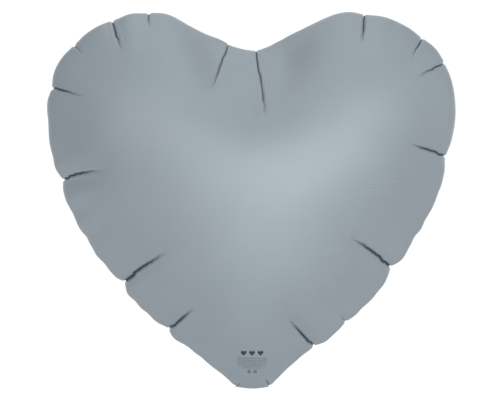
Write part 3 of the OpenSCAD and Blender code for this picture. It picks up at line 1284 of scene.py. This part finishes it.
    def _clear_tail(self, net: FilmNet, points: np.ndarray) -> np.ndarray:
        """Press the back panel in where the folded tail lies on it."""
        out = points.copy()
        back = net.back_number[net.seam_count :]
        x, y, z = points[back].T
        limit = np.interp(z, self.tail_bed[:, 1], self.tail_bed[:, 0]) - self.tail_stack
        inside = np.clip((self.tail_half_width + 14 - np.abs(x)) / 12, 0, 1)
        inside *= np.clip((self.tail_bed[-1, 1] + 12 - z) / 12, 0, 1)
        inside = inside * inside * (3 - 2 * inside)
        too_far = np.maximum(0, y - limit) * (z > 1.0)
        out[back, 1] -= too_far * inside
        return out

    def _fields(self, net: FilmNet) -> dict[str, np.ndarray]:
        """Numbers that the film's material reads at every point of the net."""
        n, m = net.seam_count, net.panel_count
        gap, share, depth = self._near_fold(net)
        # How strongly each shut fold's painted shade darkens the film's colour.
        dark = share**1.3 * np.clip(depth * 1.6, 0, 1)
        thin = 0.75 + 0.7 * share  # the painted shade line is thin and dark at first, then wide and grey
        way = np.arctan2(net.flat[:, 1], net.flat[:, 0])
        away = self._away(net)
        turn = (way - net.cut.first) % (2 * math.pi)
        seam_turn = (np.arctan2(net.flat[:n, 1], net.flat[:n, 0]) - net.cut.first) % (2 * math.pi)
        seam_run = np.arange(n) / n * net.cut.ring_length(1)
        run = np.interp(turn, seam_turn, seam_run, period=2 * math.pi)
        angle = np.degrees(way) % 360
        # Ridges show most below the notch, on both flanks and beside the tip.
        fans = (
            (92, 17, 0.8, 22, 105),
            (190, 30, 0.42, 24, 92),
            (352, 30, 0.42, 24, 92),
            (138, 22, 0.32, 16, 60),
            (320, 14, 0.8, 20, 78),
            (224, 10, 0.6, 20, 78),
            (298, 8, 0.8, 14, 60),
            (30, 20, 0.35, 16, 60),
        )
        ridges = np.full(m, 0.0)
        for centre, half, strength, first, last in fans:
            off = (angle - centre + 180) % 360 - 180
            t = np.clip((away - first) / (last - first), 0, 1)
            span = np.clip(t * 3.4, 0, 1) * np.clip((1 - t) * 2.2, 0, 1)
            ridges = np.maximum(ridges, strength * np.exp(-((off / half) ** 2)) * span)
        made = {}
        for name, values, edge_value in (
            ("fold_gap", gap * thin * MM, 0.05),
            ("fold_painted_shade", dark, 0.0),
            ("seam_run", run * MM, None),
            ("seam_gap", away * MM, 0.0),
            ("ridges", ridges, 1.0),
        ):
            ring = seam_run * MM if edge_value is None else np.full(n, edge_value)
            made[name] = np.concatenate([values, values[n:], ring, ring])
        made["fold_gap"][net.inner_ring :] = np.tile(np.where(gap[:n] < 0.5, gap[:n] * MM, 0.05), 2)
        return made

    def _panel(
        self,
        net: FilmNet,
        points: np.ndarray,
        fields: dict[str, np.ndarray],
        side: Side,
        name: str,
        materials: Sequence[bpy.types.Material],
    ) -> bpy.types.Object:
        """Make one panel with its half of the sealed edge.

        Args:
            net: the film net.
            points: its blown-up points.
            fields: the material's numbers at every point.
            side: which panel.
            name: the piece's name.
            materials: the film and the sealed film.

        Returns:
            The panel.
        """
        n = net.seam_count
        ring = np.arange(n)
        inner, outer = net.inner_ring + ring, net.outer_ring + ring
        rim = len(points) + ring
        own = points.copy()
        plan = points[inner][:, [0, 2]]
        channel = np.clip((self.tail_half_width - 2.0 - np.abs(plan[:, 0])) / 3, 0, 1)
        channel = channel * (plan[:, 1] < 20)
        lift = self.edge_half + self.channel_half * channel * channel * (3 - 2 * channel)
        own[ring, 1] += side.value * (lift - self.edge_half)
        own[inner, 1] += side.value * lift
        own[outer, 1] += side.value * lift
        whole = np.concatenate([own, points[outer]])
        strips = [net.ring_faces(ring, inner), net.ring_faces(inner, outer), net.ring_faces(outer, rim)]
        film = net.front_faces
        if side is Side.BACK:
            film = net.back_faces
            strips = [s[:, ::-1] for s in strips]
        faces = np.concatenate([film, *strips])
        picks = np.r_[np.zeros(len(film)), np.ones(len(faces) - len(film))]
        used, faces = np.unique(faces, return_inverse=True)
        faces = faces.reshape(-1, 3)
        own_fields = {k: np.concatenate([v, v[outer]])[used] for k, v in fields.items()}
        panel = make_piece(name, whole[used], faces, materials, picks, own_fields)
        smoother(panel)
        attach(panel, Body.BALLOON.value)
        return panel


# ----------------------------------------------------------------------
# Tail, valve and printing
# ----------------------------------------------------------------------


@dataclass
class FilmStrip:
    """A long film strip with flat side seals and a raised middle, along a path in the YZ plane."""

    name: str
    path: np.ndarray  # (y, z) in millimetres
    side: Side
    half_width: float
    seal: float
    lift: float
    thickness: float
    puff: float = 0.0
    ripple: float = 0.0
    row_step: float = 0.9
    columns: int = 33

    def build(self, finish: bpy.types.Material) -> bpy.types.Object:
        """Build the strip.

        Args:
            finish: its material.

        Returns:
            The strip, riding on nothing yet.
        """
        length = line_length(self.path)
        rows = max(6, int(length / self.row_step))
        run = np.linspace(0, length, rows)
        line = evenly(self.path, run)
        way = np.gradient(line, axis=0)
        way /= np.linalg.norm(way, axis=1)[:, None]
        out = np.c_[way[:, 1], -way[:, 0]] * -self.side.value
        x = np.linspace(-self.half_width, self.half_width, self.columns)
        middle = np.clip((self.half_width - self.seal - np.abs(x)) / 1.2, 0, 1)
        middle = middle * middle * (3 - 2 * middle)
        crown = np.clip(1 - (x / (self.half_width - self.seal)) ** 2, 0, 1)
        ends = np.clip(run / 8, 0, 1) * np.clip((length - run) / 5 + 0.35, 0, 1)
        wave = np.sin(run[:, None] * 0.9 + 0.25 * x) * np.sin(run[:, None] * 0.37 + 1.0)
        rise = self.lift * middle + self.puff * crown * ends[:, None]
        rise = rise + self.ripple * middle * wave * ends[:, None]
        off = 0.015 + rise
        grid = np.empty((rows, self.columns, 3))
        grid[..., 0] = x
        grid[..., 1] = line[:, :1] + out[:, :1] * off
        grid[..., 2] = line[:, 1:] + out[:, 1:] * off
        grid = grid if self.side is Side.FRONT else grid[:, ::-1]
        points, faces = thicken(grid, self.thickness)
        size = rows * self.columns
        seal_share = np.tile(np.repeat(np.clip(1 - middle, 0, 1)[None], rows, 0).ravel(), 2)
        fields = {
            "fold_gap": np.full(2 * size, 0.05),
            "fold_painted_shade": np.zeros(2 * size),
            "seam_run": np.tile(np.repeat(run, self.columns), 2) * MM,
            "seam_gap": np.tile(np.tile(x, rows), 2) * MM,
            "ridges": seal_share,
        }
        return make_piece(self.name, points, faces, [finish], None, fields)


@dataclass
class FillingTail:
    """The tail that the heart is filled through: two films sealed down both sides, folded up behind."""

    path: np.ndarray
    half_width: float
    seal: float = 4.0
    lift: float = 0.4
    film: float = 0.12
    valve_half: float = 7.0
    valve_film: float = 0.1
    valve_recess: float = 6.0

    def build(self) -> list[bpy.types.Object]:
        """Build the two films, the two valve films between them and the fold at the neck.

        Returns:
            The pieces.
        """
        sealed = MetallisedFilm(
            name="aluminium_metallised_nylon_film_tail", sealed=True, roughness=0.42, seal_rib_mm=1.1
        ).build()
        clear = ClearFilm(name="polyethylene_film_blown_tail").build()
        made = []
        for side, name, node in (
            (Side.FRONT, "tail_front_film_panel", "tail_front_film"),
            (Side.BACK, "tail_back_film_panel", "tail_back_film"),
        ):
            film = FilmStrip(
                name, self.path, side, self.half_width, self.seal, self.lift, self.film, 0.25, 0.12
            ).build(sealed)
            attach(film, Body.TAIL.value)
            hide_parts(node)
            made.append(film)
        run = line_length(self.path) - self.valve_recess
        inner = evenly(self.path, np.linspace(0, run, 40))
        for side, name, node in (
            (Side.FRONT, "tail_valve_front_sheet", "tail_valve_front_film"),
            (Side.BACK, "tail_valve_back_sheet", "tail_valve_back_film"),
        ):
            film = FilmStrip(
                name, inner, side, self.valve_half, 1.5, 0.1, self.valve_film, 0.0, 0.02
            ).build(clear)
            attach(film, Body.TAIL.value)
            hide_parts(node)
            made.append(film)
        neck = self._neck(sealed)
        made.append(neck)
        return made

    def _neck(self, finish: bpy.types.Material) -> bpy.types.Object:
        """The short fold that joins the heart's bottom edge to the tail.

        Args:
            finish: its material.

        Returns:
            The piece, riding on neither body.
        """
        first = self.path[0]
        way = (self.path[1] - first) / np.linalg.norm(self.path[1] - first)
        t = np.linspace(0, 1, 13)[:, None]
        top, low = np.array([0.0, 0.5]), np.array([0.0, -2.1])
        pull = first - way * 1.3
        line = (1 - t) ** 3 * top + 3 * (1 - t) ** 2 * t * low + 3 * (1 - t) * t**2 * pull + t**3 * first
        tangent = np.gradient(line, axis=0)
        tangent /= np.linalg.norm(tangent, axis=1)[:, None]
        out = np.c_[tangent[:, 1], -tangent[:, 0]]
        x = np.linspace(-self.half_width, self.half_width, 25)
        middle = np.clip((self.half_width - self.seal - np.abs(x)) / 1.2, 0, 1)
        middle = middle * middle * (3 - 2 * middle)
        half = 0.09 + (self.film - 0.075) * t + self.lift * middle
        upper = np.empty((len(line), len(x), 3))
        upper[..., 0] = x
        lower = upper.copy()
        for grid, sign in ((upper, 1.0), (lower, -1.0)):
            grid[..., 1] = line[:, :1] + sign * out[:, :1] * half
            grid[..., 2] = line[:, 1:] + sign * out[:, 1:] * half
        loop = np.concatenate([upper, lower[:, ::-1]], 1)
        rows, count = loop.shape[:2]
        faces = [
            (r * count + c, r * count + (c + 1) % count, (r + 1) * count + (c + 1) % count, (r + 1) * count + c)
            for r in range(rows - 1)
            for c in range(count)
        ]
        last = (rows - 1) * count
        for c in range(len(x) - 1):
            d = count - 1 - c
            faces.append((c + 1, c, d, d - 1))
            faces.append((last + c, last + c + 1, last + d - 1, last + d))
        size = rows * count
        fields = {
            "fold_gap": np.full(size, 0.05),
            "fold_painted_shade": np.zeros(size),
            "seam_run": np.repeat(np.arange(rows) * 0.3, count) * MM,
            "seam_gap": loop[..., 0].ravel() * MM,
            "ridges": np.zeros(size),
        }
        neck = make_piece("tail_neck_fold", loop.reshape(-1, 3), faces, [finish], None, fields)
        neck.data.validate()
        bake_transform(neck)
        return neck


@dataclass
class FillingValve:
    """The part of the valve inside the heart: two clear films and the printed layer between them."""

    reach: float
    half_width: float
    thickness: float = 0.1

    def build(self, rests_on: bpy.types.Object) -> list[bpy.types.Object]:
        """Build the valve films and dress the release layer.

        Args:
            rests_on: the panel that the valve is sealed to; not used.

        Returns:
            The valve's pieces.
        """
        clear = ClearFilm().build()
        path = np.array([[0.0, self.reach], [0.0, 0.0]])
        made = []
        for side, name, node in (
            (Side.FRONT, "valve_front_sheet", "valve_front_film"),
            (Side.BACK, "valve_back_sheet", "valve_back_film"),
        ):
            film = FilmStrip(name, path, side, self.half_width, 1.5, 0.1, self.thickness).build(clear)
            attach(film, Body.BALLOON.value)
            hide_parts(node)
            made.append(film)
        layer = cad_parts["valve_release_layer"]
        ink = GravureInk(
            name="heat_resistant_ink_screen_printed", colour="#C9B777", roughness=0.6, thin_colour="#D8CB9A"
        ).build()
        layer.data.materials.clear()
        layer.data.materials.append(ink)
        made.append(layer)
        return made


@dataclass
class PrintedMarks:
    """Small generic printing on the front panel: three hearts, rules of different lengths and two dots."""

    centre_x: float
    low: float
    high: float
    half_width: float
    thickness: float = 0.06
    lift: float = 0.05
    rule_height: float = 0.34
    heart_size: float = 4.2

    def build(self, panel: bpy.types.Object) -> bpy.types.Object:
        """Build the printing on the panel's surface.

        Args:
            panel: the front panel.

        Returns:
            The printing, as one piece.
        """
        seen = panel.evaluated_get(bpy.context.evaluated_depsgraph_get()).to_mesh()
        corners = [v.co.copy() for v in seen.vertices]
        surface = BVHTree.FromPolygons(corners, [tuple(p.vertices) for p in seen.polygons])
        points: list[np.ndarray] = []
        faces: list[tuple[int, ...]] = []
        picks: list[int] = []

        def lay(grid: np.ndarray, ink: int) -> None:
            """Lay a grid of (x, z) places on the film as a thin printed patch."""
            solid = np.empty((*grid.shape[:2], 3))
            for r in range(grid.shape[0]):
                for c in range(grid.shape[1]):
                    x, z = grid[r, c]
                    hit = surface.ray_cast(Vector((x * MM, -0.3, z * MM)), Vector((0, 1, 0)))[0]
                    y = hit.y / MM if hit is not None else -1.0
                    solid[r, c] = (x, y - self.lift, z)
            patch, patch_faces = thicken(solid, self.thickness)
            first = sum(len(p) for p in points)
            points.append(patch)
            faces.extend(tuple(first + i for i in f) for f in patch_faces)
            picks.extend([ink] * len(patch_faces))

        top = self.high
        for k in (-1, 0, 1):
            lay(self._heart(self.centre_x + k * self.heart_size * 1.45, top - self.heart_size / 2), 0)
        lengths = (0.98, 1.0, 0.94, 1.0, 0.9, 0.62)
        first_rule = top - self.heart_size - 1.9
        pitch = (first_rule - self.low - 3.6) / (len(lengths) - 1)
        for k, share in enumerate(lengths):
            self._rule(lay, first_rule - k * pitch, self.half_width * share)
        for k in (-1, 1):
            x = self.centre_x + k * 2.2
            z = self.low + 0.9
            lay(self._square(x, z, 2.2), 1)
        marks = make_piece(
            "printed_marks",
            np.concatenate(points),
            faces,
            [
                GravureInk(name="gravure_ink_black", colour="#23282C", roughness=0.55).build(),
                GravureInk(
                    name="gravure_ink_grey", colour="#6A7379", roughness=0.55, thin_colour="#87919A"
                ).build(),
            ],
            np.array(picks),
        )
        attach(marks, Body.BALLOON.value)
        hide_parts("printed_block")
        return marks

    def _rule(self, lay, z: float, half: float) -> None:
        """Lay one thin rule in uneven dashes, as small print looks from a step away."""
        x = self.centre_x - half
        dash = 0
        lengths = (2.6, 3.9, 1.8, 4.6, 3.1)
        while x < self.centre_x + half - 0.8:
            end = min(x + lengths[(dash + int(z * 7)) % 5], self.centre_x + half)
            columns = np.linspace(x, end, 5)
            lay(
                np.stack(
                    [
                        np.c_[columns, np.full(5, z + self.rule_height / 2)],
                        np.c_[columns, np.full(5, z - self.rule_height / 2)],
                    ]
                ),
                1,
            )
            x = end + 0.45
            dash += 1

    def _heart(self, x: float, z: float) -> np.ndarray:
        """A grid of places that fills a small heart."""
        rows, columns = 7, 13
        across = np.linspace(-0.97, 0.97, columns)
        t = np.arcsin(np.abs(across) ** (1 / 3))
        ends = []
        for turn in (t, math.pi - t):
            heart = 13 * np.cos(turn) - 5 * np.cos(2 * turn)
            ends.append(heart - 2 * np.cos(3 * turn) - np.cos(4 * turn))
        share = np.linspace(0, 1, rows)[:, None]
        height = (ends[0] * (1 - share) + ends[1] * share) / 16
        half = self.heart_size / 2
        return np.stack([x + half * np.tile(across, (rows, 1)), z + half * height], 2)

    @staticmethod
    def _square(x: float, z: float, size: float) -> np.ndarray:
        """A grid of places that fills a small square."""
        across = np.linspace(x - size / 2, x + size / 2, 3)
        down = np.linspace(z + size / 2, z - size / 2, 3)
        return np.stack([np.c_[across, np.full(3, d)] for d in down])


# ----------------------------------------------------------------------
# Studio
# ----------------------------------------------------------------------


@dataclass
class Studio:
    """A pale floor, a white room with greyer sides, soft lights and a level camera."""

    look_x: float = -0.0015
    look_z: float = 0.132
    view_width: float = 0.365
    away: float = 2.0
    sensor: float = 36.0
    floor_z: float = -0.11
    floor_half: float = 1.05

    def build(self) -> None:
        """Build the camera, the floor, the room's light and the soft lights."""
        scene = bpy.context.scene
        scene.view_settings.view_transform = "Standard"
        eye = bpy.data.cameras.new("camera")
        eye.sensor_width = self.sensor
        eye.lens = self.sensor * self.away / self.view_width
        camera = bpy.data.objects.new("camera", eye)
        camera.location = (self.look_x, -self.away, self.look_z)
        camera.rotation_euler = (math.radians(90), 0, 0)
        scene.collection.objects.link(camera)
        scene.camera = camera
        self._floor()
        self._room()
        self._softbox("key_softbox", (0.45, -1.6, 0.3), 1.8, 2.5, (0, 0, 0.14))
        self._softbox("floor_softbox", (0.12, -0.5, 0.31), 0.6, 1.0, (0.12, -0.72, -0.1))
        self._softbox("top_softbox", (0.0, 0.1, 1.3), 1.0, 0.7, (0, 0, 0.14))

    def _floor(self) -> None:
        """Build the floor as a board with a softened edge."""
        s, t, low = self.floor_half / MM, 12.0, self.floor_z / MM
        cut = 6.0
        rings = [(s - cut, low), (s, low - cut), (s, low - t), (s - cut, low - t - cut)]
        points = [(x, y, z) for r, z in rings for x, y in ((-r, -r), (r, -r), (r, r), (-r, r))]
        faces = [(0, 1, 2, 3), (15, 14, 13, 12)]
        for k in range(3):
            for i in range(4):
                j = (i + 1) % 4
                faces.append((4 * k + j, 4 * k + i, 4 * k + 4 + i, 4 * k + 4 + j))
        floor = make_piece("studio_floor", np.array(points), faces, [FloorPaint().build()])
        floor.data.polygons.foreach_set("use_smooth", [False] * len(floor.data.polygons))

    def _room(self) -> None:
        """Light the room: white in front and behind, greyer at the sides and below."""
        world = bpy.data.worlds.new("white_room")
        bpy.context.scene.world = world
        world.use_nodes = True
        tree = world.node_tree
        way = add_node(tree, "TexCoord").outputs["Generated"]
        parts = add_node(tree, "SeparateXYZ", {}, {0: way})
        depth = add_node(
            tree, "MapRange", {}, {"Value": parts.outputs["Y"], "From Min": -1.0, "From Max": 1.0}
        ).outputs["Result"]
        ramp = add_node(tree, "ValToRGB", {}, {"Fac": depth})
        stops = ramp.color_ramp.elements
        stops[0].position, stops[0].color = 0.0, (1.0, 1.0, 1.0, 1)
        stops[1].position, stops[1].color = 1.0, (1.15, 1.15, 1.15, 1)
        for at, value in ((0.3, 0.8), (0.52, 0.6), (0.72, 0.7), (0.88, 1.08)):
            stop = stops.new(at)
            stop.color = (value * 0.99, value * 0.985, value * 1.015, 1)
        even = add_node(
            tree,
            "MapRange",
            {},
            {
                "Value": parts.outputs["X"],
                "From Min": -1.0,
                "From Max": 1.0,
                "To Min": 0.9,
                "To Max": 1.13,
            },
        ).outputs["Result"]
        seen = add_node(tree, "LightPath").outputs["Is Camera Ray"]
        strength = add_node(
            tree, "Mix", {"data_type": "FLOAT"}, {"Factor": seen, "A": even, "B": 1.05}
        ).outputs["Result"]
        colour = add_node(
            tree,
            "Mix",
            {"data_type": "RGBA"},
            {"Factor": seen, "A": ramp.outputs["Color"], "B": (1, 1, 1, 1)},
        ).outputs["Result"]
        back = tree.nodes["Background"]
        tree.links.new(colour, back.inputs["Color"])
        tree.links.new(strength, back.inputs["Strength"])

    @staticmethod
    def _softbox(
        name: str,
        place: tuple[float, float, float],
        size: float,
        power: float,
        aim: tuple[float, float, float],
    ) -> None:
        """Hang a square soft light.

        Args:
            name: its name.
            place: where it hangs, in metres.
            size: side of its square face, in metres.
            power: its power in watts.
            aim: what it points at, in metres.
        """
        lamp = bpy.data.lights.new(name, "AREA")
        lamp.size, lamp.energy = size, power
        light = bpy.data.objects.new(name, lamp)
        light.location = place
        light.rotation_euler = (Vector(aim) - Vector(place)).to_track_quat("-Z", "Y").to_euler()
        bpy.context.scene.collection.objects.link(light)


# ----------------------------------------------------------------------


def tail_path() -> np.ndarray:
    """Read the folded tail's middle line off its CAD films.

    Returns:
        The line's points as (y, z) in millimetres, from the fold to the cut end.
    """
    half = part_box("tail_front_film")[1].x
    edges = []
    for node in ("tail_front_film", "tail_back_film"):
        spots = np.array([v.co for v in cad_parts[node].data.vertices])
        edge = spots[np.abs(spots[:, 0] - half) < 1e-5][:, 1:] / MM
        edges.append({(round(float(y), 2), round(float(z), 2)) for y, z in edge})
    shared = sorted(edges[0] & edges[1], key=lambda p: p[1])
    return np.array(shared)


def main() -> None:
    """Build every piece in order."""
    tail_low, tail_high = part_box("tail_front_film")
    _, valve_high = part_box("valve_front_film")
    print_low, print_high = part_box("printed_block")
    panel_low, panel_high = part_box("front_panel")
    Studio().build()
    LOG.info("studio: camera, floor and lights")
    outline = HeartOutline(
        width=(panel_high.x - panel_low.x) / MM,
        height=panel_high.z / MM,
        depth=(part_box("back_panel")[1].y - panel_low.y) / MM,
        bottom_width=(tail_high.x - tail_low.x) / MM,
    )
    path = tail_path()
    front, back = HeartFilm(
        outline=outline, seam=4.5, tail_bed=path, tail_half_width=tail_high.x / MM, tail_stack=1.1
    ).build()
    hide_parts("front_panel")
    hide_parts("back_panel")
    for piece in (front, back):
        LOG.info("%s: %d faces before smoothing", piece.name, len(piece.data.polygons))
    for piece in FillingTail(path=path, half_width=tail_high.x / MM).build():
        LOG.info("%s", piece.name)
    for piece in FillingValve(reach=valve_high.z / MM, half_width=valve_high.x / MM).build(back):
        LOG.info("%s", piece.name)
    marks = PrintedMarks(
        centre_x=0.5 * (print_low.x + print_high.x) / MM,
        low=print_low.z / MM,
        high=print_high.z / MM,
        half_width=(print_high.x - print_low.x) / 2 / MM,
    ).build(front)
    LOG.info("%s", marks.name)


if __name__ == "__main__":
    logging.basicConfig(level=logging.INFO, format="%(message)s")
    main()
